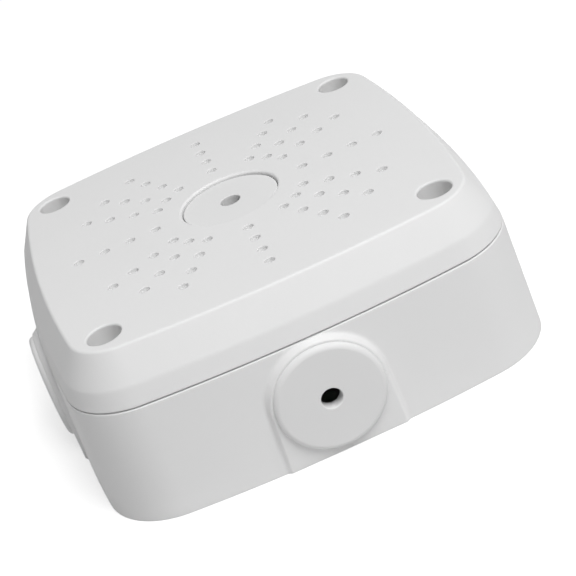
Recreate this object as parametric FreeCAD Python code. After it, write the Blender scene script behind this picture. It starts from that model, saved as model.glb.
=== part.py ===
"""Square junction box for a surface camera, moulded in white ABS.

The box is a base that is screwed to a wall and a cover that closes it. The cover carries the
camera: its face has rows of blind pilot holes on four circles, a rubber cable grommet in the
middle and a deep screw well near each corner. The front of the base has an arched boss with a
larger rubber grommet, and its other three sides are plain. A rubber gasket lies in a groove in the
cover, over a tongue on the base.

Millimetres. The wall face is the plane Z = 0, the cover's face looks up +Z, the front is -Y and
the origin is the centre of the wall face.
"""
import FreeCAD
import Part
import math
import os
from FreeCAD import Vector

# Plan of the body, from the centre to the middle of a side, and how the wall steps in above
back_half = 57.8          # wall face
base_draft = 1.4          # up the base
band_draft = 1.2          # up the cover's lower band
bevel_run = 4.3           # over the cover's bevel
side_bow_radius = 336.0   # bow of a side, at the cover's face
corner_radius = 11.8      # corner in plan, at the cover's face

# Heights of the base and of the cover's two bands
base_height = 29.7
band_height = 5.0
bevel_rise = 8.1
parting_gap = 0.3         # open line between cover and base

# Mouldings
face_edge_round = 0.9
shoulder_round = 4.0
back_plate = 2.6
rim_wall = 3.2            # base wall at the joint
cover_plate = 2.6
bevel_wall = 2.8          # cover wall behind the bevel, measured level

# Tongue, groove and gasket round the joint
skirt_wall = 1.8          # cover wall outside the groove
tongue_wall = 1.2
tongue_height = 2.4
tongue_play = 0.15        # each side of the tongue
gasket_height = 1.2
gasket_play = 0.05        # each side of the gasket
lip_wall = 1.5            # cover wall inside the groove

# Cover screws, their wells and pillars
screw_inset = 10.3        # axis from the edge of the cover's face, along X and along Y
well_radius = 4.1
well_depth = 11.0
well_wall = 1.9
well_floor = 3.0
screw_play = 0.6          # between the screw's core and the cover
screw_core_radius = 1.5
screw_length = 16.0
screw_tip = 2.0
screw_head_radius = 3.5
screw_head_height = 2.4
screw_head_bevel = 0.8
recess_length = 3.9
recess_width = 0.9
recess_depth = 1.3
seal_thickness = 0.8
seal_play = 0.2           # seal to the well and to the screw
pillar_radius = 5.0
pilot_play = 0.1          # between the screw's core and the pillar
pilot_reserve = 2.0       # pilot hole below the screw's tip
web_thickness = 2.0
web_drop = 4.0            # the web stops this far below the pillar's top

# Blind pilot holes in the cover's face. The camera's own screws pierce the web they leave, and
# the holes that aren't used stay closed to the rain.
pilot_radius = 1.3
pilot_web = 1.0
pilot_inner_margin = 7.15   # first circle from the recess in the middle
pilot_outer_margin = 10.9   # last circle from the edge of the cover's face
pilot_circles = 4
pilot_row_angles = (0.0, 30.0, 45.0, 60.0)   # repeated in each quarter

# Grommets: one in the cover, one in the front
cable_radius = 2.55
grommet_web = 3.0         # rubber round the cable
grommet_play = 0.1        # neck in its hole
catch_play = 0.05         # between the inner catch and the wall
catch_length = 2.2
catch_step = 1.4          # the catch stands out this far past the neck
catch_tip_step = 0.2      # and tapers to this
cup_wall = 2.9            # rubber round the hollow behind the web

front_flange_margin = 1.55   # from the wall face
front_flange_height = 1.4
front_flange_round = 1.3
front_flange_overlap = 2.9   # flange past the neck

cover_flange_radius = 12.25
cover_flange_height = 1.6
cover_flange_overlap = 2.85
cover_flange_sink = 0.75  # grommet's face below the cover's face
cover_recess_play = 0.3   # round the flange
cover_seat_wall = 2.8     # plastic under the flange
cover_boss_wall = 3.0     # plastic round the recess

# Arched boss on the front of the base
boss_proud = 0.3          # past the wall face's edge
boss_land = 0.5           # flat rim round the grommet's flange
boss_edge_flare = 0.5     # each leg leans out this far down to the wall face
boss_root_depth = 1.9     # root plane below the boss's face, inside the wall
boss_root_run = 1.25      # the root stands out this far past the edge
boss_root_flare = 1.95

# Back of the base
wall_screw_inset = 27.8   # from the wall face's edge
wall_screw_radius = 2.3
wall_pad_radius = 6.0
wall_pad_height = 1.5
knockout_radius = 10.5
knockout_groove = 1.0
knockout_web = 0.9

level_tolerance = 0.001   # when two heights count as one

# Worked out from the sizes above
up = Vector(0, 0, 1)
parting_half = back_half - base_draft
shoulder_half = parting_half - band_draft
face_half = shoulder_half - bevel_run
shoulder_height = base_height + band_height
body_height = shoulder_height + bevel_rise
bow_centre = side_bow_radius - face_half
bow_reach = side_bow_radius - corner_radius
corner_centre = (math.sqrt(2 * bow_reach ** 2 - bow_centre ** 2) - bow_centre) / 2
corner_start = math.atan2(corner_centre, corner_centre + bow_centre)

rim_height = base_height - parting_gap / 2
skirt_height = base_height + parting_gap / 2
ceiling_height = body_height - cover_plate
base_inner_half = parting_half - rim_wall
groove_outer_half = parting_half - skirt_wall
tongue_outer_half = groove_outer_half - tongue_play
tongue_inner_half = tongue_outer_half - tongue_wall
groove_inner_half = tongue_inner_half - tongue_play
cover_inner_half = groove_inner_half - lip_wall
tongue_top = rim_height + tongue_height
groove_top = tongue_top + gasket_height
seat_height = body_height - well_depth
pillar_top = seat_height - well_floor
head_height = seat_height + seal_thickness
screw_offset = face_half - screw_inset

entry_height = base_height / 2
front_flange_radius = entry_height - front_flange_margin
front_neck_radius = front_flange_radius - front_flange_overlap
boss_face = back_half + boss_proud
boss_edge_radius = front_flange_radius + boss_land
boss_root_radius = boss_edge_radius + boss_root_run

cover_seat_height = body_height - cover_flange_sink - cover_flange_height
cover_recess_radius = cover_flange_radius + cover_recess_play
cover_neck_radius = cover_flange_radius - cover_flange_overlap
pilot_first_circle = cover_recess_radius + pilot_inner_margin
pilot_last_circle = face_half - pilot_outer_margin
wall_screw_offset = back_half - wall_screw_inset


def between(low, low_value, high, high_value, at):
    """Value on a straight line between two heights."""
    return low_value + (high_value - low_value) * (at - low) / (high - low)


def polar(radius, angle, height=0.0):
    return Vector(radius * math.cos(angle), radius * math.sin(angle), height)


def arc(centre, radius, start, end):
    points = [centre + polar(radius, a) for a in (start, (start + end) / 2, end)]
    return Part.Arc(*points).toShape()


def outline(half, height):
    """Bowed square with round corners. Every outline shares its arc centres, so two of them
    stay the same distance apart all the way round."""
    grow = half - face_half
    edges = []
    for quarter in range(4):
        turn = quarter * math.pi / 2
        side = polar(-bow_centre, turn, height)
        corner = polar(corner_centre * math.sqrt(2), turn + math.pi / 4, height)
        end = math.pi / 2 - corner_start
        edges.append(arc(side, side_bow_radius + grow, turn - corner_start, turn + corner_start))
        edges.append(arc(corner, corner_radius + grow, turn + corner_start, turn + end))
    return Part.Wire(edges)


def loft(levels):
    """Solid through (half, height) outlines, straight between one and the next."""
    return Part.makeLoft([outline(half, height) for half, height in levels], True, True)


def prism(half, low, high):
    return Part.Face(outline(half, low)).extrude(up * (high - low))


def frame(outer, inner, low, high):
    return prism(outer, low, high).cut(prism(inner, low, high))


def post(radius, low, high, x=0.0, y=0.0):
    return Part.makeCylinder(radius, high - low, Vector(x, y, low), up)


def revolved(edges):
    """Solid of revolution about Z from a closed outline in the XZ plane."""
    return Part.Face(Part.Wire(edges)).revolve(Vector(), up, 360)


def polyline(points):
    places = [Vector(r, 0, z) for r, z in points]
    return [Part.LineSegment(a, b).toShape() for a, b in zip(places, places[1:])]


def turned(shape, degrees):
    copy = shape.copy()
    copy.rotate(Vector(), up, degrees)
    return copy


def corners_of(offset):
    return [(x * offset, y * offset) for x in (-1, 1) for y in (-1, 1)]


def rounded_level_edges(shape, height, radius):
    """Fillet the edges that lie level at this height."""
    edges = [edge for edge in shape.Edges
             if all(abs(vertex.Z - height) < level_tolerance for vertex in edge.Vertexes)]
    return shape.makeFillet(radius, edges)


def one_solid(shape):
    solids = shape.removeSplitter().Solids
    return max(solids, key=lambda solid: solid.Volume)


def arch(radius, flare, distance):
    """Half-round arch on two legs that lean out to the wall face, facing -Y."""
    centre = Vector(0, -distance, entry_height)
    left, right = Vector(-radius, 0, 0) + centre, Vector(radius, 0, 0) + centre
    left_foot = Vector(-radius - flare, -distance, 0)
    right_foot = Vector(radius + flare, -distance, 0)
    crown = Part.Arc(left, centre + up * radius, right).toShape()
    legs = [(right, right_foot), (right_foot, left_foot), (left_foot, left)]
    return Part.Wire([crown] + [Part.LineSegment(a, b).toShape() for a, b in legs])


def front_boss():
    root = arch(boss_root_radius, boss_root_flare, boss_face - boss_root_depth)
    face = arch(boss_edge_radius, boss_edge_flare, boss_face)
    boss = Part.makeLoft([root, face], True, True)
    return boss.common(Part.makeBox(4 * back_half, 4 * back_half, rim_height,
                                    Vector(-2 * back_half, -2 * back_half, 0)))


def cover_pillar(x, y):
    """Pillar for a cover screw, with a web to the corner."""
    reach = corner_centre * math.sqrt(2) + corner_radius + base_inner_half - face_half
    start = math.hypot(x, y)
    length = reach - start + rim_wall / 2
    web = Part.makeBox(length, web_thickness, pillar_top - web_drop - back_plate / 2,
                       Vector(start, -web_thickness / 2, back_plate / 2))
    web.rotate(Vector(), up, math.degrees(math.atan2(y, x)))
    return [post(pillar_radius, back_plate / 2, pillar_top, x, y), web]


def make_base():
    body = loft([(back_half, 0), (parting_half, base_height)])
    body = body.common(prism(2 * back_half, 0, rim_height))
    body = body.fuse(front_boss())
    body = body.cut(prism(base_inner_half, back_plate, body_height))
    body = body.fuse(frame(tongue_outer_half, tongue_inner_half, rim_height - rim_wall, tongue_top))
    pads = [post(wall_pad_radius, back_plate / 2, back_plate + wall_pad_height, x, y)
            for x, y in corners_of(wall_screw_offset)]
    pillars = [piece for x, y in corners_of(screw_offset) for piece in cover_pillar(x, y)]
    body = body.fuse(pads + pillars)
    entry = Part.makeCylinder(front_neck_radius + grommet_play, boss_face,
                              Vector(0, 0, entry_height), Vector(0, -1, 0))
    entry = entry.cut(prism(base_inner_half / 2, 0, body_height))
    pilot_bottom = head_height - screw_length - pilot_reserve
    pilots = [post(screw_core_radius + pilot_play, pilot_bottom, body_height, x, y)
              for x, y in corners_of(screw_offset)]
    wall_holes = [post(wall_screw_radius, -1, body_height, x, y)
                  for x, y in corners_of(wall_screw_offset)]
    knockout = post(knockout_radius, -1, back_plate - knockout_web)
    knockout = knockout.cut(post(knockout_radius - knockout_groove, -2, back_plate))
    return one_solid(body.cut([entry, knockout] + pilots + wall_holes))


def pilot_places():
    pitch = (pilot_last_circle - pilot_first_circle) / (pilot_circles - 1)
    for quarter in range(4):
        for row in pilot_row_angles:
            for circle in range(pilot_circles):
                radius = pilot_first_circle + circle * pitch
                yield polar(radius, math.radians(90 * quarter + row), body_height)


def cover_shell():
    skirt_half = between(base_height, parting_half, shoulder_height, shoulder_half, skirt_height)
    shell = loft([(skirt_half, skirt_height), (shoulder_half, shoulder_height),
                  (face_half, body_height)])
    shell = rounded_level_edges(shell, shoulder_height, shoulder_round)
    shell = rounded_level_edges(shell, body_height, face_edge_round)
    ceiling_half = between(shoulder_height, shoulder_half, body_height, face_half,
                           ceiling_height) - bevel_wall
    turn_height = between(shoulder_half - bevel_wall, shoulder_height, face_half - bevel_wall,
                          body_height, cover_inner_half)
    hollow = loft([(cover_inner_half, skirt_height - cover_plate),
                   (cover_inner_half, turn_height), (ceiling_half, ceiling_height)])
    return shell.cut(hollow)


def make_cover():
    tubes = [post(well_radius + well_wall, pillar_top, ceiling_height + cover_plate / 2, x, y)
             for x, y in corners_of(screw_offset)]
    boss = post(cover_recess_radius + cover_boss_wall, cover_seat_height - cover_seat_wall,
                ceiling_height + cover_plate / 2)
    body = cover_shell().fuse(tubes + [boss])
    wells = [post(well_radius, seat_height, body_height + 1, x, y)
             for x, y in corners_of(screw_offset)]
    screw_holes = [post(screw_core_radius + screw_play, pillar_top - 1, body_height, x, y)
                   for x, y in corners_of(screw_offset)]
    groove = frame(groove_outer_half, groove_inner_half, skirt_height - 1, groove_top)
    recess = post(cover_recess_radius, cover_seat_height, body_height + 1)
    neck_hole = post(cover_neck_radius + grommet_play, cover_seat_height - 2 * cover_seat_wall,
                     body_height)
    pilots = [post(pilot_radius, ceiling_height + pilot_web, body_height + 1, place.x, place.y)
              for place in pilot_places()]
    return one_solid(body.cut(wells + screw_holes + [groove, recess, neck_hole] + pilots))


def make_gasket():
    return frame(groove_outer_half - gasket_play, groove_inner_half + gasket_play,
                 tongue_top, groove_top)


def grommet(flange_radius, flange_height, neck_radius, wall):
    """Push-in grommet along Z with its seat at Z = 0 and its face up: a flange, a neck through
    the wall, a tapered catch behind it, and a web round the cable."""
    catch_top = -wall
    catch_bottom = catch_top - catch_length
    catch_radius = neck_radius + catch_step
    web_bottom = flange_height - grommet_web
    return revolved(polyline([
        (cable_radius, flange_height), (flange_radius, flange_height), (flange_radius, 0),
        (neck_radius, 0), (neck_radius, catch_top), (catch_radius, catch_top),
        (neck_radius + catch_tip_step, catch_bottom), (neck_radius - cup_wall, catch_bottom),
        (neck_radius - cup_wall, web_bottom), (cable_radius, web_bottom),
        (cable_radius, flange_height)]))


def rounded_rim(piece, height, radius):
    """Fillet the widest edge that lies level at this height."""
    rims = [edge for edge in piece.Edges
            if isinstance(edge.Curve, Part.Circle)
            and abs(edge.Curve.Center.z - height) < level_tolerance]
    return piece.makeFillet(radius, [max(rims, key=lambda edge: edge.Curve.Radius)])


def bow_sag(half, radius):
    """How far a bowed wall falls back over a flat disc of this radius."""
    bow = side_bow_radius + half - face_half
    return bow - math.sqrt(bow ** 2 - radius ** 2)


def make_front_grommet():
    """Larger grommet in its place in the front wall."""
    wall = boss_face - base_inner_half
    play = catch_play + bow_sag(base_inner_half, front_neck_radius + catch_step)
    piece = grommet(front_flange_radius, front_flange_height, front_neck_radius, wall + play)
    piece = rounded_rim(piece, front_flange_height, front_flange_round)
    piece.rotate(Vector(), Vector(1, 0, 0), 90)
    piece.translate(Vector(0, -boss_face, entry_height))
    return piece


def make_cover_grommet():
    piece = grommet(cover_flange_radius, cover_flange_height, cover_neck_radius,
                    cover_seat_wall + catch_play)
    piece.translate(up * cover_seat_height)
    return piece


def cover_screw(x, y):
    """Screw with a bevelled head and a cross recess. Its thread is left off."""
    tip = -screw_length
    screw = revolved(polyline([
        (0, screw_head_height), (0, tip), (screw_core_radius, tip + screw_tip),
        (screw_core_radius, 0), (screw_head_radius, 0),
        (screw_head_radius, screw_head_height - screw_head_bevel),
        (screw_head_radius - screw_head_bevel, screw_head_height), (0, screw_head_height)]))
    bottom = Vector(-recess_length / 2, -recess_width / 2, screw_head_height - recess_depth)
    slot = Part.makeBox(recess_length, recess_width, screw_head_height, bottom)
    screw = screw.cut([slot, turned(slot, 90)])
    screw.translate(Vector(x, y, head_height))
    return screw


def screw_seal(x, y):
    ring = post(well_radius - seal_play, seat_height, head_height, x, y)
    return ring.cut(post(screw_core_radius + seal_play, seat_height - 1, head_height + 1, x, y))


def group(pieces):
    return Part.makeCompound([solid for piece in pieces for solid in piece.Solids])


def main():
    os.makedirs("parts", exist_ok=True)
    places = corners_of(screw_offset)
    nodes = {
        "base": make_base(),
        "cover": make_cover(),
        "cover_gasket": make_gasket(),
        "cover_grommet": make_cover_grommet(),
        "front_grommet": make_front_grommet(),
        "cover_screws": group([cover_screw(x, y) for x, y in places]),
        "screw_seals": group([screw_seal(x, y) for x, y in places]),
    }
    for name, shape in nodes.items():
        shape.exportStep("parts/" + name + ".step")
        box = shape.BoundBox
        print(name, "valid", shape.isValid(), "solids", len(shape.Solids),
              "volume", round(shape.Volume, 1),
              "box", [round(v, 2) for v in (box.XMin, box.YMin, box.ZMin,
                                            box.XMax, box.YMax, box.ZMax)])


main()
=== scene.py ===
"""Square junction box for a surface camera, in white ABS with white rubber grommets.

The shells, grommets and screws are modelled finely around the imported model, each in the place of
the solid it stands for. The boss and flange on the left side stand for no solid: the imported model
has no entry there. Shapes are worked out in millimetres and scaled to metres at the end.
"""
import bmesh
import bpy
import math
from mathutils import Matrix, Vector


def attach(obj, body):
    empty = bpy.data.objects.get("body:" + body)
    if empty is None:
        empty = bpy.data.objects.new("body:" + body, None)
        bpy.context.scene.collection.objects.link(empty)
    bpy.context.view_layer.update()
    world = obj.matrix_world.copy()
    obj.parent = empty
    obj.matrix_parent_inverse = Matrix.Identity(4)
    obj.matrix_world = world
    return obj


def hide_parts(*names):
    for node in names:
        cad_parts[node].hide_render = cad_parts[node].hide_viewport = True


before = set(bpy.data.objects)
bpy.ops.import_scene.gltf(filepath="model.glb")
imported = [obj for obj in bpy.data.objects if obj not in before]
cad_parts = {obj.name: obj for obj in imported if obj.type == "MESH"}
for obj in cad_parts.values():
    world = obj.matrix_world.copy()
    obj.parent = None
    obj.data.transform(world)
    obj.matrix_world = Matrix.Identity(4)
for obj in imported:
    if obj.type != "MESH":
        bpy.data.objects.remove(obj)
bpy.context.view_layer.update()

MM = 0.001               # metres in a millimetre

# Plan of the body, from the centre to the middle of a side, and how the wall steps in above
back_half = 57.8
base_draft = 1.4
band_draft = 1.2
bevel_run = 4.3
side_bow_radius = 336.0  # at the cover's face, as is the corner
corner_radius = 11.8

# Heights above the wall face
base_height = 29.7
band_height = 5.0
bevel_rise = 8.1
parting_gap = 0.3

# Mouldings
face_edge_round = 0.9
shoulder_round = 4.0
parting_round = 0.3      # softened edges on both sides of the joint
inner_foot_round = 0.6
inner_shoulder_round = 1.0
ceiling_round = 0.8
back_plate = 2.6
rim_wall = 3.2
cover_plate = 2.6
bevel_wall = 2.8

# Tongue, groove and gasket
skirt_wall = 1.8
tongue_wall = 1.2
tongue_height = 2.4
tongue_play = 0.15
gasket_height = 1.2
lip_wall = 1.5
tongue_root_round = 0.1
rim_edge_round = 0.2     # on the tongue and on the cover's lip

# Cover screws, their wells and pillars
screw_inset = 10.3
well_radius = 4.1
well_depth = 11.0
well_wall = 1.9
well_floor = 3.0
well_edge_round = 0.55
screw_play = 0.6
screw_core_radius = 1.5
screw_thread_depth = 0.45
screw_thread_pitch = 1.4
screw_length = 16.0
screw_tip = 2.0
screw_head_radius = 3.5
screw_head_height = 2.4
screw_head_round = 1.1
screw_head_flat = 0.4    # radius of the flat on top
screw_neck_round = 0.15
screw_thread_slope = 3.2
recess_length = 3.9
recess_width = 0.9
recess_depth = 1.3
seal_thickness = 0.8
pillar_radius = 5.0
pilot_reserve = 2.0
pilot_play = 0.1         # between the screw's core and the pillar
web_thickness = 2.0
web_drop = 4.0
web_lift = 0.1           # its foot above the middle of the back plate

# Blind pilot holes in the cover's face
pilot_radius = 1.3
pilot_edge_round = 0.15
pilot_web = 1.0
pilot_inner_margin = 7.15
pilot_outer_margin = 10.9
pilot_circles = 4
pilot_rows = 4           # in each quarter, at 0, 30, 45 and 60 degrees

# Grommets
cable_radius = 2.55
cable_edge_round = 0.25
grommet_web = 3.0
grommet_play = 0.1
catch_play = 0.05
catch_length = 2.2
catch_step = 1.4
catch_tip_step = 0.2
cup_wall = 2.9
flange_foot_round = 0.05
neck_root_round = 0.1
catch_edge_round = 0.3
catch_tip_round = 0.4
cup_mouth_round = 0.3
cup_floor_round = 0.6
web_edge_round = 0.2
front_flange_margin = 1.55
front_flange_height = 1.4
front_flange_round = 1.3
front_flange_overlap = 2.9
cover_flange_radius = 12.25
cover_flange_height = 1.6
cover_flange_round = 0.35
cover_flange_overlap = 2.85
cover_flange_sink = 0.75
cover_recess_play = 0.3
cover_recess_round = 0.6
cover_seat_wall = 2.8
cover_boss_wall = 3.0

# Arched bosses on the front and left
boss_proud = 0.3
boss_land = 0.5
boss_edge_flare = 0.5
boss_edge_round = 0.25
boss_root_depth = 1.9
boss_root_run = 1.25
boss_root_flare = 1.45   # run added at the foot of each leg
boss_fillet = 0.5        # where its side meets the wall
boss_hem_proud = 0.008   # the fillet's end above the wall
boss_hem_run = 0.15      # from there its skin turns into the wall
boss_top_gap = 0.01      # below the rim

# Back of the base
wall_screw_inset = 27.8
wall_screw_radius = 2.3
wall_pad_radius = 6.0
wall_pad_height = 1.5
knockout_radius = 10.5
knockout_groove = 1.0
knockout_web = 0.9

# Fineness of the meshes
side_steps = 24
corner_steps = 14
round_steps = 5
circle_steps = 96
pilot_steps = 28
crown_steps = 56
leg_steps = 10
thread_steps = 24        # round the thread, and up each turn of it in thread_rise steps
thread_rise = 8
sharp_angle = math.radians(32)
flat_margin = 5.0        # ring of small faces at the edge of a flat
below = 1.5              # how far a cut or a leg runs past the face that trims it
above = 1.0              # how far a cutter stands out of the face that it cuts
mouth_lift = 0.002       # its rounded mouth begins this far above the face

# Floor, light and camera of the photograph, in metres and watts, and the camera in millimetres
floor_half = 2.0
floor_drop = 0.0001
floor_glow = 0.58
sky_strength = 0.24
key_place = (0.29, -0.53, 1.15)
key_aim = (0, 0, 0.02)
key_size = 0.7
key_power = 13.2
camera_place = (-30.36, -370.18, 210.22)
camera_aim = (3.95, -15.57, 21.4)
camera_roll = math.radians(-21.245)
camera_lens = 103.381
film_width = 36.0

# Worked out from the sizes above
parting_half = back_half - base_draft
shoulder_half = parting_half - band_draft
face_half = shoulder_half - bevel_run
shoulder_height = base_height + band_height
body_height = shoulder_height + bevel_rise
bow_centre = side_bow_radius - face_half
bow_reach = side_bow_radius - corner_radius
corner_centre = (math.sqrt(2 * bow_reach ** 2 - bow_centre ** 2) - bow_centre) / 2
corner_start = math.atan2(corner_centre, corner_centre + bow_centre)
rim_height = base_height - parting_gap / 2
skirt_height = base_height + parting_gap / 2
ceiling_height = body_height - cover_plate
base_inner_half = parting_half - rim_wall
groove_outer_half = parting_half - skirt_wall
tongue_outer_half = groove_outer_half - tongue_play
tongue_inner_half = tongue_outer_half - tongue_wall
groove_inner_half = tongue_inner_half - tongue_play
cover_inner_half = groove_inner_half - lip_wall
tongue_top = rim_height + tongue_height
groove_top = tongue_top + gasket_height
seat_height = body_height - well_depth
pillar_top = seat_height - well_floor
head_height = seat_height + seal_thickness
screw_offset = face_half - screw_inset
entry_height = base_height / 2
front_flange_radius = entry_height - front_flange_margin
front_neck_radius = front_flange_radius - front_flange_overlap
boss_face = back_half + boss_proud
boss_edge_radius = front_flange_radius + boss_land
cover_seat_height = body_height - cover_flange_sink - cover_flange_height
cover_recess_radius = cover_flange_radius + cover_recess_play
cover_neck_radius = cover_flange_radius - cover_flange_overlap
pilot_first_circle = cover_recess_radius + pilot_inner_margin
pilot_last_circle = face_half - pilot_outer_margin
pilot_pitch = (pilot_last_circle - pilot_first_circle) / (pilot_circles - 1)
wall_screw_offset = back_half - wall_screw_inset
to_left = Matrix.Rotation(math.radians(270), 3, "Z")   # from the front to the left side


# Nodes

def add_node(tree, kind, inputs=None, **settings):
    """Adds a node. An input given a socket is linked to it, and any other is set to the value."""
    node = tree.nodes.new(kind)
    for name, value in settings.items():
        setattr(node, name, value)
    for key, value in (inputs or {}).items():
        if isinstance(value, bpy.types.NodeSocket):
            tree.links.new(value, node.inputs[key])
        else:
            node.inputs[key].default_value = value
    return node


def calculate(tree, operation, first, second):
    """Output of a math node; each input is a socket or a number."""
    return add_node(tree, "ShaderNodeMath", {0: first, 1: second}, operation=operation).outputs[0]


def linear(hex_colour):
    """Linear RGBA from an sRGB hex value."""
    parts = [int(hex_colour[i:i + 2], 16) / 255 for i in (0, 2, 4)]
    return [p / 12.92 if p <= 0.04045 else ((p + 0.055) / 1.055) ** 2.4 for p in parts] + [1.0]


def new_material(name):
    """An empty material with a Principled shader on its output."""
    material = bpy.data.materials.new(name)
    material.use_nodes = True
    tree = material.node_tree
    tree.nodes.clear()
    shader = add_node(tree, "ShaderNodeBsdfPrincipled")
    add_node(tree, "ShaderNodeOutputMaterial", {"Surface": shader.outputs[0]})
    return material, tree, shader


def moulded_finish(name, colour, cloud_colour, roughness, ior, grain_mm, grain_depth_mm, cloud_mm):
    """Moulded surface: faint clouds of tone, a grain from the tool and a little uneven gloss."""
    material, tree, shader = new_material(name)
    place = add_node(tree, "ShaderNodeTexCoord").outputs["Object"]
    clouds = add_node(tree, "ShaderNodeTexNoise",
                      {"Vector": place, "Scale": 1 / (cloud_mm * MM), "Detail": 3.0})
    tone = add_node(tree, "ShaderNodeMix",
                    {"Factor": clouds.outputs["Fac"], "A": linear(colour),
                     "B": linear(cloud_colour)}, data_type="RGBA")
    grain = add_node(tree, "ShaderNodeTexNoise",
                     {"Vector": place, "Scale": 1 / (grain_mm * MM), "Detail": 2.0})
    gloss = add_node(tree, "ShaderNodeMapRange",
                     {"Value": grain.outputs["Fac"], "To Min": roughness - 0.04,
                      "To Max": roughness + 0.04})
    bump = add_node(tree, "ShaderNodeBump",
                    {"Height": grain.outputs["Fac"], "Strength": 1.0,
                     "Distance": grain_depth_mm * MM})
    tree.links.new(tone.outputs[2], shader.inputs["Base Color"])
    tree.links.new(gloss.outputs[0], shader.inputs["Roughness"])
    tree.links.new(bump.outputs[0], shader.inputs["Normal"])
    shader.inputs["IOR"].default_value = ior
    return material


def abs_finish():
    """White ABS, moulded in a spark-eroded tool: matt, even, with a dry fine grain. Light that
    enters the plastic comes out about a millimetre away, which keeps wells and holes pale."""
    material = moulded_finish("white_abs_spark_eroded", "eeeeee", "ebebeb", 0.55, 1.53, 0.5, 0.01,
                              30.0)
    shader = material.node_tree.nodes["Principled BSDF"]
    shader.inputs["Subsurface Weight"].default_value = 0.35
    shader.inputs["Subsurface Radius"].default_value = (1.0, 1.0, 1.0)
    shader.inputs["Subsurface Scale"].default_value = 1.2 * MM
    return material


def rubber_finish():
    """White thermoplastic rubber: a touch greyer than the shells and softer in its shine."""
    return moulded_finish("white_rubber_moulded", "ebebeb", "e8e8e8", 0.62, 1.5, 0.4, 0.008, 12.0)


def seal_finish():
    """Black silicone cord of the gasket and seals: deep grey with a low sheen."""
    return moulded_finish("black_silicone_cord", "1c1c1e", "232325", 0.5, 1.41, 0.3, 0.004, 8.0)


def steel_finish():
    """Cold-formed stainless steel, tumbled: clear grey metal with fine soft scratches."""
    material, tree, shader = new_material("stainless_steel_tumbled")
    place = add_node(tree, "ShaderNodeTexCoord").outputs["Object"]
    wear = add_node(tree, "ShaderNodeTexNoise",
                    {"Vector": place, "Scale": 1 / (0.3 * MM), "Detail": 4.0})
    gloss = add_node(tree, "ShaderNodeMapRange",
                     {"Value": wear.outputs["Fac"], "To Min": 0.22, "To Max": 0.4})
    tree.links.new(gloss.outputs[0], shader.inputs["Roughness"])
    shader.inputs["Base Color"].default_value = linear("c4c3bf")
    shader.inputs["Metallic"].default_value = 1.0
    return material


# Meshes, in millimetres until finish_piece scales them

def direction(angle):
    return Vector((math.cos(angle), math.sin(angle), 0))


def stations():
    """Points and outward normals round the edge of the cover's face, anticlockwise."""
    found = []
    for quarter in range(4):
        turn = quarter * math.pi / 2
        bow = direction(turn) * -bow_centre
        corner = direction(turn + math.pi / 4) * corner_centre * math.sqrt(2)
        for step in range(side_steps):
            normal = direction(turn + corner_start * (2 * step / side_steps - 1))
            found.append((bow + normal * side_bow_radius, normal))
        for step in range(corner_steps):
            sweep = math.pi / 2 - 2 * corner_start
            normal = direction(turn + corner_start + sweep * step / corner_steps)
            found.append((corner + normal * corner_radius, normal))
    return found


def rounded(points, radii):
    """A path of (x, y) points whose inner corners are rounded to these radii, 0 for a sharp one."""
    path = [Vector(points[0])]
    for before, here, after, radius in zip(points, points[1:], points[2:], radii):
        before, here, after = Vector(before), Vector(here), Vector(after)
        back, on = (before - here).normalized(), (after - here).normalized()
        half = back.angle(on) / 2
        if radius == 0:
            path.append(here)
            continue
        centre = here + (back + on).normalized() * radius / math.sin(half)
        start = here + back * radius / math.tan(half)
        end = here + on * radius / math.tan(half)
        first, last = start - centre, end - centre
        turn = first.angle_signed(last)
        for step in range(round_steps + 1):
            spin = Matrix.Rotation(-turn * step / round_steps, 2)
            path.append(centre + spin @ first)
    path.append(Vector(points[-1]))
    return path


def mesh_object(name, build):
    """A mesh object from a function that fills a bmesh."""
    shape = bmesh.new()
    build(shape)
    bmesh.ops.recalc_face_normals(shape, faces=shape.faces)
    mesh = bpy.data.meshes.new(name)
    shape.to_mesh(mesh)
    shape.free()
    piece = bpy.data.objects.new(name, mesh)
    bpy.context.scene.collection.objects.link(piece)
    return piece


def bridge(shape, rings):
    """Quads between one closed ring of vertices and the next."""
    for low, high in zip(rings, rings[1:]):
        for i, corner in enumerate(low):
            j = (i + 1) % len(low)
            shape.faces.new((corner, low[j], high[j], high[i]))


def swept_shell(name, profile):
    """Shell that follows the bowed square: a (half, height) path, closed by its flat ends."""
    def build(shape):
        rings = [[shape.verts.new(place + normal * (half - face_half) + Vector((0, 0, height)))
                  for place, normal in stations()] for half, height in profile]
        bridge(shape, rings)
        shape.faces.new(rings[0])
        shape.faces.new(rings[-1])
    return mesh_object(name, build)


def lathe(shape, profile, steps, x=0.0, y=0.0):
    """Body of revolution about a vertical axis, from a (radius, height) path. A path that starts
    or ends on the axis is closed there by a fan, and any other path is a closed ring."""
    on_axis = profile[0][0] == 0
    rings = []
    for radius, height in profile:
        if radius == 0:
            rings.append([shape.verts.new((x, y, height))])
            continue
        rings.append([shape.verts.new(direction(2 * math.pi * i / steps) * radius
                                      + Vector((x, y, height))) for i in range(steps)])
    if not on_axis:
        bridge(shape, rings + [rings[0]])
        return
    bridge(shape, rings[1:-1])
    for pole, ring in ((rings[0], rings[1]), (rings[-1], rings[-2])):
        for i, corner in enumerate(ring):
            shape.faces.new((corner, ring[(i + 1) % steps], pole[0]))


def post(shape, radius, low, high, x=0.0, y=0.0, steps=48):
    lathe(shape, [(0, low), (radius, low), (radius, high), (0, high)], steps, x, y)


def box(shape, low, high, turn=0.0):
    """Box between two corners, turned about the Z axis by this angle."""
    made = bmesh.ops.create_cube(shape, size=1.0)["verts"]
    low, high = Vector(low), Vector(high)
    place = Matrix.Rotation(turn, 4, "Z") @ Matrix.Translation((low + high) / 2)
    bmesh.ops.transform(shape, matrix=place @ Matrix.Diagonal((*(high - low), 1)), verts=made)


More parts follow.
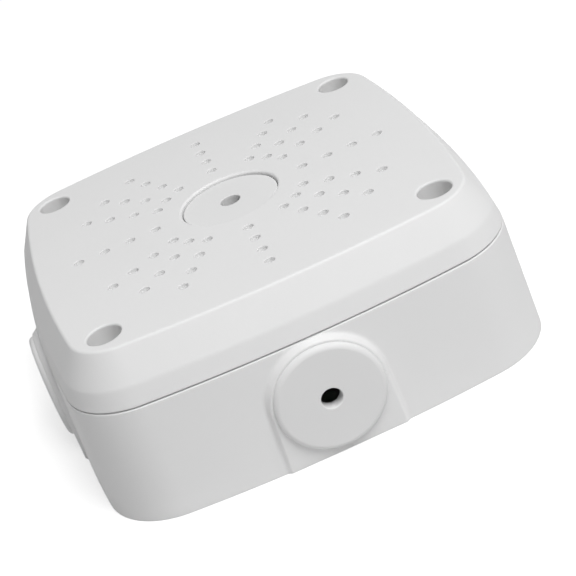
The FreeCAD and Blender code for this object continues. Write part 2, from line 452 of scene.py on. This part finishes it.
def corners_of(offset):
    return [(x * offset, y * offset) for x in (-1, 1) for y in (-1, 1)]


def apply_modifiers(piece):
    """Turns the evaluated object into its plain mesh."""
    evaluated = piece.evaluated_get(bpy.context.evaluated_depsgraph_get())
    mesh = bpy.data.meshes.new_from_object(evaluated)
    piece.modifiers.clear()
    piece.data = mesh


def new_pattern(name, numbers):
    """Node tree that copies its geometry onto points. Gives the tree, its input node and a
    function that places the copies at these coordinates, realises them and sets the material."""
    tree = bpy.data.node_groups.new(name, "GeometryNodeTree")
    tree.interface.new_socket("Geometry", in_out="INPUT", socket_type="NodeSocketGeometry")
    for label in numbers:
        tree.interface.new_socket(label, in_out="INPUT", socket_type="NodeSocketFloat")
    tree.interface.new_socket("Material", in_out="INPUT", socket_type="NodeSocketMaterial")
    tree.interface.new_socket("Geometry", in_out="OUTPUT", socket_type="NodeSocketGeometry")
    given = add_node(tree, "NodeGroupInput")

    def finish(count, x, y):
        place = add_node(tree, "ShaderNodeCombineXYZ", {"X": x, "Y": y}).outputs[0]
        points = add_node(tree, "GeometryNodePoints", {"Count": count, "Position": place})
        copies = add_node(tree, "GeometryNodeInstanceOnPoints",
                          {"Points": points.outputs[0], "Instance": given.outputs["Geometry"]})
        real = add_node(tree, "GeometryNodeRealizeInstances", {"Geometry": copies.outputs[0]})
        faced = add_node(tree, "GeometryNodeSetMaterial",
                         {"Geometry": real.outputs[0], "Material": given.outputs["Material"]})
        add_node(tree, "NodeGroupOutput", {"Geometry": faced.outputs[0]})
    return tree, given.outputs, finish


def repeat(piece, tree, values):
    """Runs the pattern on the piece with these named inputs and keeps its plain mesh."""
    modifier = piece.modifiers.new(tree.name, "NODES")
    modifier.node_group = tree
    for item in tree.interface.items_tree:
        if item.in_out == "INPUT" and item.name in values:
            modifier[item.identifier] = values[item.name]
    apply_modifiers(piece)


def combine(piece, operation, tool, overlapping=False):
    """Adds or takes away the tool, which is then removed."""
    modifier = piece.modifiers.new(operation.lower(), "BOOLEAN")
    modifier.operation = operation
    modifier.object = tool
    modifier.solver = "EXACT"
    modifier.use_self = overlapping
    apply_modifiers(piece)
    bpy.data.objects.remove(tool)


def finish_piece(piece, material, slot, *nodes):
    """Scales the piece to metres, smooths it and puts it in the place of its nodes."""
    piece.data.transform(Matrix.Scale(MM, 4))
    piece.data.materials.clear()
    piece.data.materials.append(material)
    piece.data.polygons.foreach_set("material_index", [0] * len(piece.data.polygons))
    piece.data.shade_smooth()
    piece.data.set_sharp_from_angle(angle=sharp_angle)
    weights = piece.modifiers.new("flat_faces_stay_flat", "WEIGHTED_NORMAL")
    weights.keep_sharp = True
    weights.weight = 100
    apply_modifiers(piece)
    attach(piece, "root")
    if nodes:
        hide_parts(*nodes)


# Base

def wall_half(height):
    return back_half - base_draft * height / base_height


def wall_depth(x, height):
    """Distance of the bowed, drafted front wall from the centre."""
    radius = side_bow_radius + wall_half(height) - face_half
    return math.sqrt(radius ** 2 - x ** 2) - bow_centre


def arch_point(offset, share):
    """A point of the arch, this far outside its edge. The share runs from the foot of the right
    leg, 0, over the crown to the foot of the left leg, 1. Gives (x, height) and the side's run."""
    radius = boss_edge_radius + offset
    leg = leg_steps / (2 * leg_steps + crown_steps)
    if leg <= share <= 1 - leg:
        angle = math.pi * (share - leg) / (1 - 2 * leg)
        return (radius * math.cos(angle), entry_height + radius * math.sin(angle)), boss_root_run
    side, drop = (1, 1 - share / leg) if share < leg else (-1, 1 - (1 - share) / leg)
    height = entry_height - drop * (entry_height + below)
    lean = (entry_height - height) / entry_height
    return ((side * (radius + boss_edge_flare * lean), height),
            boss_root_run + boss_root_flare * lean)


def boss_section(share):
    """The boss's surface across its edge at this station, from its face down into the wall."""
    slope = arch_point(0, share)[1] / boss_root_depth

    def wall_at(offset):
        (x, height), _ = arch_point(offset, share)
        return wall_depth(x, height)

    foot = 0.0
    for _ in range(6):
        foot = slope * (boss_face - wall_at(foot))
    edge = boss_edge_round
    slant = math.hypot(1, slope)
    corners = [
        ((-edge, boss_face), (0, boss_face), (edge * slope / slant, boss_face - edge / slant)),
        ((foot - boss_fillet * slope / slant, wall_at(foot) + boss_fillet / slant),
         (foot, wall_at(foot)), (foot + boss_fillet, wall_at(foot + boss_fillet) + boss_hem_proud)),
    ]
    path = []
    for start, middle, end in corners:
        for step in range(round_steps + 1):
            t = step / round_steps
            path.append([(1 - t) ** 2 * a + 2 * t * (1 - t) * b + t * t * c
                         for a, b, c in zip(start, middle, end)])
    last = path[-1]
    path.append([last[0] + boss_hem_run, last[1] - rim_wall / 2])
    return path


def arched_boss(turn):
    """An arched boss, a closed shell that ends inside the wall. Turned from the front."""
    def build(shape):
        count = 2 * leg_steps + crown_steps
        columns = []
        for i in range(count + 1):
            column = []
            for offset, depth in boss_section(i / count):
                (x, height), _ = arch_point(offset, i / count)
                place = Vector((x, -depth, min(height, rim_height - boss_top_gap)))
                column.append(shape.verts.new(turn @ place))
            columns.append(column)
        for left, right in zip(columns, columns[1:]):
            for k in range(len(left) - 1):
                shape.faces.new((left[k], left[k + 1], right[k + 1], right[k]))
        shape.faces.new([column[0] for column in columns])
        shape.faces.new([column[-1] for column in columns])
        shape.faces.new(columns[0] + columns[-1][::-1])
    return mesh_object("boss", build)


def base_shell():
    path = [(back_half - flat_margin, -below), (wall_half(-below), -below),
            (parting_half, rim_height),
            (tongue_outer_half, rim_height), (tongue_outer_half, tongue_top),
            (tongue_inner_half, tongue_top), (base_inner_half, back_plate),
            (base_inner_half - flat_margin, back_plate)]
    radii = [0, parting_round, tongue_root_round, rim_edge_round, rim_edge_round,
             inner_foot_round]
    return swept_shell("box_base", rounded(path, radii))


def base_fittings(shape):
    """Screw pillars with their webs, and pads at the wall screws."""
    reach = corner_centre * math.sqrt(2) + corner_radius + base_inner_half - face_half
    for x, y in corners_of(screw_offset):
        post(shape, pillar_radius, back_plate / 2, pillar_top, x, y)
        start = math.hypot(x, y) + pillar_radius / 2
        half = web_thickness / 2
        box(shape, (start, -half, back_plate / 2 + web_lift),
            (reach + rim_wall / 2, half, pillar_top - web_drop), math.atan2(y, x))
    for x, y in corners_of(wall_screw_offset):
        post(shape, wall_pad_radius, back_plate / 2, back_plate + wall_pad_height, x, y)


def base_cuts(shape):
    pilot_bottom = head_height - screw_length - pilot_reserve
    for x, y in corners_of(screw_offset):
        post(shape, screw_core_radius + pilot_play, pilot_bottom, body_height, x, y, steps=24)
    for x, y in corners_of(wall_screw_offset):
        post(shape, wall_screw_radius, -2 * below, body_height / 2, x, y)
    outer, inner = knockout_radius, knockout_radius - knockout_groove
    top = back_plate - knockout_web
    lathe(shape, [(inner, -2 * below), (outer, -2 * below), (outer, top), (inner, top)],
          circle_steps)
    made = len(shape.verts)
    post(shape, front_neck_radius + grommet_play, base_inner_half - 2 * below, boss_face + below,
         steps=circle_steps)
    shape.verts.ensure_lookup_table()
    place = Matrix.Translation((0, 0, entry_height)) @ Matrix.Rotation(math.pi / 2, 4, "X")
    bmesh.ops.transform(shape, matrix=place, verts=shape.verts[made:])


def make_base(material):
    base = base_shell()
    for turn in (Matrix.Identity(3), to_left):
        combine(base, "UNION", arched_boss(turn))
    combine(base, "UNION", mesh_object("fittings", base_fittings), overlapping=True)
    combine(base, "DIFFERENCE", mesh_object("cuts", base_cuts))
    floor = mesh_object("floor_cut", lambda shape: box(
        shape, (-2 * back_half, -2 * back_half, -4 * below), (2 * back_half, 2 * back_half, 0)))
    combine(base, "DIFFERENCE", floor)
    finish_piece(base, material, "housing_abs", "base")


# Cover

def cover_shell():
    skirt_half = parting_half - band_draft * (skirt_height - base_height) / band_height
    bevel_slope = bevel_run / bevel_rise
    ceiling_half = face_half + bevel_slope * cover_plate - bevel_wall
    turn_height = shoulder_height + (shoulder_half - bevel_wall - cover_inner_half) / bevel_slope
    path = [(face_half - flat_margin, body_height), (face_half, body_height),
            (shoulder_half, shoulder_height), (skirt_half, skirt_height),
            (groove_outer_half, skirt_height), (groove_outer_half, groove_top),
            (groove_inner_half, groove_top), (groove_inner_half, skirt_height),
            (cover_inner_half, skirt_height), (cover_inner_half, turn_height),
            (ceiling_half, ceiling_height), (ceiling_half - flat_margin, ceiling_height)]
    radii = [face_edge_round, shoulder_round, parting_round, 0, 0, 0, 0, rim_edge_round,
             inner_shoulder_round, ceiling_round]
    return swept_shell("box_cover", rounded(path, radii))


def flared(radius, low, flare):
    """Path of a cutter whose mouth widens to a rounded edge at the cover's face."""
    path = [(0, low), (radius, low)]
    for step in range(round_steps + 1):
        angle = math.pi / 2 * step / round_steps
        path.append((radius + flare * (1 - math.cos(angle)),
                     body_height - flare * (1 - math.sin(angle)) + mouth_lift))
    return path + [(radius + flare, body_height + above), (0, body_height + above)]


def cover_fittings(shape):
    for x, y in corners_of(screw_offset):
        post(shape, well_radius + well_wall, pillar_top, ceiling_height + cover_plate / 2, x, y)
    post(shape, cover_recess_radius + cover_boss_wall, cover_seat_height - cover_seat_wall,
         ceiling_height + cover_plate / 2, steps=circle_steps)


def cover_cuts(shape):
    for x, y in corners_of(screw_offset):
        lathe(shape, flared(well_radius, seat_height, well_edge_round), 64, x, y)
        post(shape, screw_core_radius + screw_play, pillar_top - below, seat_height + below, x, y)
    lathe(shape, flared(cover_recess_radius, cover_seat_height, cover_recess_round), circle_steps)
    post(shape, cover_neck_radius + grommet_play, cover_seat_height - 2 * cover_seat_wall,
         cover_seat_height + cover_flange_sink, steps=circle_steps)


def pilot_pattern():
    """Rows of holes from the middle outwards, four rows to a quarter: at its start and then at
    30, 45 and 60 degrees."""
    tree, given, finish = new_pattern("pilot_holes", ("Circles", "Rows", "First circle", "Pitch"))
    index = add_node(tree, "GeometryNodeInputIndex").outputs[0]
    row_number = calculate(tree, "FLOOR", calculate(tree, "DIVIDE", index, given["Circles"]), 0.0)
    circle = calculate(tree, "MODULO", index, given["Circles"])
    quarter = calculate(tree, "FLOOR", calculate(tree, "DIVIDE", row_number, given["Rows"]), 0.0)
    row = calculate(tree, "MODULO", row_number, given["Rows"])
    skipped = calculate(tree, "GREATER_THAN", row, 0.5)
    steps = calculate(tree, "ADD", row, skipped)
    angle = calculate(tree, "ADD", calculate(tree, "MULTIPLY", quarter, math.radians(90)),
                      calculate(tree, "MULTIPLY", steps, math.radians(15)))
    radius = calculate(tree, "ADD", given["First circle"],
                       calculate(tree, "MULTIPLY", circle, given["Pitch"]))
    count = calculate(tree, "MULTIPLY", calculate(tree, "MULTIPLY", given["Circles"],
                                                  given["Rows"]), 4.0)
    finish(count, calculate(tree, "MULTIPLY", radius, calculate(tree, "COSINE", angle, 0.0)),
           calculate(tree, "MULTIPLY", radius, calculate(tree, "SINE", angle, 0.0)))
    return tree


def pilot_cutters(material):
    path = flared(pilot_radius, ceiling_height + pilot_web, pilot_edge_round)
    cutters = mesh_object("pilot_cutters", lambda shape: lathe(shape, path, pilot_steps))
    repeat(cutters, pilot_pattern(), {
        "Circles": float(pilot_circles), "Rows": float(pilot_rows),
        "First circle": pilot_first_circle, "Pitch": pilot_pitch, "Material": material})
    return cutters


def make_cover(material):
    cover = cover_shell()
    combine(cover, "UNION", mesh_object("fittings", cover_fittings))
    combine(cover, "DIFFERENCE", mesh_object("cuts", cover_cuts), overlapping=True)
    combine(cover, "DIFFERENCE", pilot_cutters(material))
    finish_piece(cover, material, "housing_abs", "cover")


# Grommets

def grommet_path(flange_radius, flange_height, flange_round, neck_radius, wall):
    """Section of a push-in grommet with its seat at height 0 and its face up."""
    catch_bottom = -wall - catch_length
    web_bottom = flange_height - grommet_web
    cup = neck_radius - cup_wall
    points = [(cable_radius, flange_height / 2), (cable_radius, flange_height),
              (flange_radius, flange_height), (flange_radius, 0), (neck_radius, 0),
              (neck_radius, -wall), (neck_radius + catch_step, -wall),
              (neck_radius + catch_tip_step, catch_bottom), (cup, catch_bottom),
              (cup, web_bottom), (cable_radius, web_bottom), (cable_radius, web_bottom / 2)]
    return rounded(points, [cable_edge_round, flange_round, flange_foot_round, neck_root_round, 0,
                            catch_edge_round, catch_tip_round, cup_mouth_round, cup_floor_round,
                            web_edge_round])


def make_grommet(name, material, path, place, *nodes):
    def build(shape):
        lathe(shape, path, circle_steps)
        bmesh.ops.transform(shape, matrix=place, verts=shape.verts)
    finish_piece(mesh_object(name, build), material, "grommet_rubber", *nodes)


def flange_path():
    """The flange alone, with a blind cable hole. The left wall behind it is closed, as it is in
    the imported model, which has no entry there."""
    floor = grommet_play
    return [(0, floor)] + rounded(
        [(0, floor), (cable_radius, floor), (cable_radius, front_flange_height),
         (front_flange_radius, front_flange_height), (front_flange_radius, -grommet_play),
         (0, -grommet_play)], [0, cable_edge_round, front_flange_round - grommet_play, 0])[1:]


def make_grommets(material):
    bow = side_bow_radius + base_inner_half - face_half
    sag = bow - math.sqrt(bow ** 2 - (front_neck_radius + catch_step) ** 2)
    front = grommet_path(front_flange_radius, front_flange_height, front_flange_round,
                         front_neck_radius, boss_face - base_inner_half + catch_play + sag)
    stand = Matrix.Translation((0, -boss_face, entry_height)) @ Matrix.Rotation(
        math.pi / 2, 4, "X")
    make_grommet("front_grommet_rubber", material, front, stand, "front_grommet")
    make_grommet("left_flange_rubber", material, flange_path(), to_left.to_4x4() @ stand)
    top = grommet_path(cover_flange_radius, cover_flange_height, cover_flange_round,
                       cover_neck_radius, cover_seat_wall + catch_play)
    make_grommet("cover_grommet_rubber", material, top,
                 Matrix.Translation((0, 0, cover_seat_height)), "cover_grommet")


# Cover screws

def screw_body(shape):
    """Pan head and threaded shank as one skin, with the underside of the head at height 0."""
    top = screw_head_height
    head = rounded([(screw_head_flat, top), (screw_head_radius, top), (screw_head_radius, 0),
                    (screw_core_radius, 0)], [screw_head_round, screw_neck_round])
    rings = [[shape.verts.new(direction(2 * math.pi * i / thread_steps) * radius
                              + Vector((0, 0, height))) for i in range(thread_steps)]
             for radius, height in head]
    rise = screw_thread_pitch / thread_rise
    for step in range(1, int(screw_length / rise)):
        height = -step * rise
        taper = min(1.0, (screw_length + height) / screw_tip)
        fade = min(1.0, step / thread_rise)
        ring = []
        for i in range(thread_steps):
            phase = (height / screw_thread_pitch - i / thread_steps) % 1.0
            crest = max(0.0, 1 - screw_thread_slope * abs(phase - 0.5))
            radius = (screw_core_radius + screw_thread_depth * crest * fade) * taper
            ring.append(shape.verts.new(direction(2 * math.pi * i / thread_steps) * radius
                                        + Vector((0, 0, height))))
        rings.append(ring)
    bridge(shape, rings)
    shape.faces.new(rings[0])
    shape.faces.new(rings[-1])


def cross_recess(shape):
    for turn in (0.0, math.pi / 2):
        box(shape, (-recess_length / 2, -recess_width / 2, screw_head_height - recess_depth),
            (recess_length / 2, recess_width / 2, screw_head_height + above), turn)


def corner_pattern():
    """One copy over each pillar."""
    tree, given, finish = new_pattern("four_corners", ("Offset",))
    index = add_node(tree, "GeometryNodeInputIndex").outputs[0]
    halves = (calculate(tree, "MODULO", index, 2.0),
              calculate(tree, "FLOOR", calculate(tree, "DIVIDE", index, 2.0), 0.0))
    x, y = [calculate(tree, "MULTIPLY", given["Offset"],
                      calculate(tree, "SUBTRACT", calculate(tree, "MULTIPLY", half, 2.0), 1.0))
            for half in halves]
    finish(4, x, y)
    return tree


def make_screws(material):
    screw = mesh_object("cover_screw_set", screw_body)
    combine(screw, "DIFFERENCE", mesh_object("recess", cross_recess), overlapping=True)
    screw.data.transform(Matrix.Translation((0, 0, head_height)))
    repeat(screw, corner_pattern(), {"Offset": screw_offset, "Material": material})
    finish_piece(screw, material, "screw_steel", "cover_screws")


# Floor, lights and camera

def make_floor():
    """Pale floor that reads as white where it is lit and keeps the soft shadow of the box."""
    mesh = bpy.data.meshes.new("floor")
    corners = ((-1, -1), (1, -1), (1, 1), (-1, 1))
    mesh.from_pydata([(x * floor_half, y * floor_half, -floor_drop) for x, y in corners], [],
                     [(0, 1, 2, 3)])
    floor = bpy.data.objects.new("floor", mesh)
    bpy.context.scene.collection.objects.link(floor)
    material, tree, shader = new_material("white_paper")
    rays = add_node(tree, "ShaderNodeLightPath").outputs
    seen = calculate(tree, "MAXIMUM", rays["Is Camera Ray"], rays["Is Glossy Ray"])
    seen = calculate(tree, "MAXIMUM", seen, rays["Is Transmission Ray"])
    glow = calculate(tree, "MULTIPLY", seen, floor_glow)
    tree.links.new(glow, shader.inputs["Emission Strength"])
    shader.inputs["Emission Color"].default_value = linear("ffffff")
    shader.inputs["Base Color"].default_value = linear("d6d6d6")
    shader.inputs["Roughness"].default_value = 0.9
    mesh.materials.append(material)


def add_light(name, place, aim, size, power):
    """Square soft light, in metres and watts."""
    data = bpy.data.lights.new(name, "AREA")
    data.size = size
    data.energy = power
    light = bpy.data.objects.new(name, data)
    light.location = place
    light.rotation_euler = (Vector(aim) - Vector(place)).to_track_quat("-Z", "Y").to_euler()
    bpy.context.scene.collection.objects.link(light)


def light_scene():
    world = bpy.data.worlds.new("studio")
    world.use_nodes = True
    world.node_tree.nodes.clear()
    sky = add_node(world.node_tree, "ShaderNodeBackground", {"Color": linear("ffffff"),
                                                             "Strength": sky_strength})
    add_node(world.node_tree, "ShaderNodeOutputWorld", {"Surface": sky.outputs[0]})
    bpy.context.scene.world = world
    add_light("key_softbox", key_place, key_aim, key_size, key_power)


def make_camera():
    """Camera of the photograph: 103 mm lens at 0.4 m, rolled as the picture is."""
    place, aim = Vector(camera_place) * MM, Vector(camera_aim) * MM
    data = bpy.data.cameras.new("camera")
    data.sensor_width = film_width
    data.lens = camera_lens
    data.clip_start = 0.01
    camera = bpy.data.objects.new("camera", data)
    ahead = (aim - place).normalized()
    level = ahead.cross(Vector((0, 0, 1))).normalized()
    right = math.cos(camera_roll) * level + math.sin(camera_roll) * level.cross(ahead)
    axes = Matrix((right, right.cross(ahead), -ahead)).transposed()
    camera.matrix_world = Matrix.Translation(place) @ axes.to_4x4()
    bpy.context.scene.collection.objects.link(camera)
    bpy.context.scene.camera = camera


abs_white = abs_finish()
rubber_white = rubber_finish()
seal_black = seal_finish()
steel = steel_finish()

make_base(abs_white)
make_cover(abs_white)
make_grommets(rubber_white)
make_screws(steel)
for node in ("cover_gasket", "screw_seals"):
    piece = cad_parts[node]
    piece.data.materials.clear()
    piece.data.materials.append(seal_black)

make_floor()
light_scene()
make_camera()
bpy.context.scene.view_settings.view_transform = "Standard"
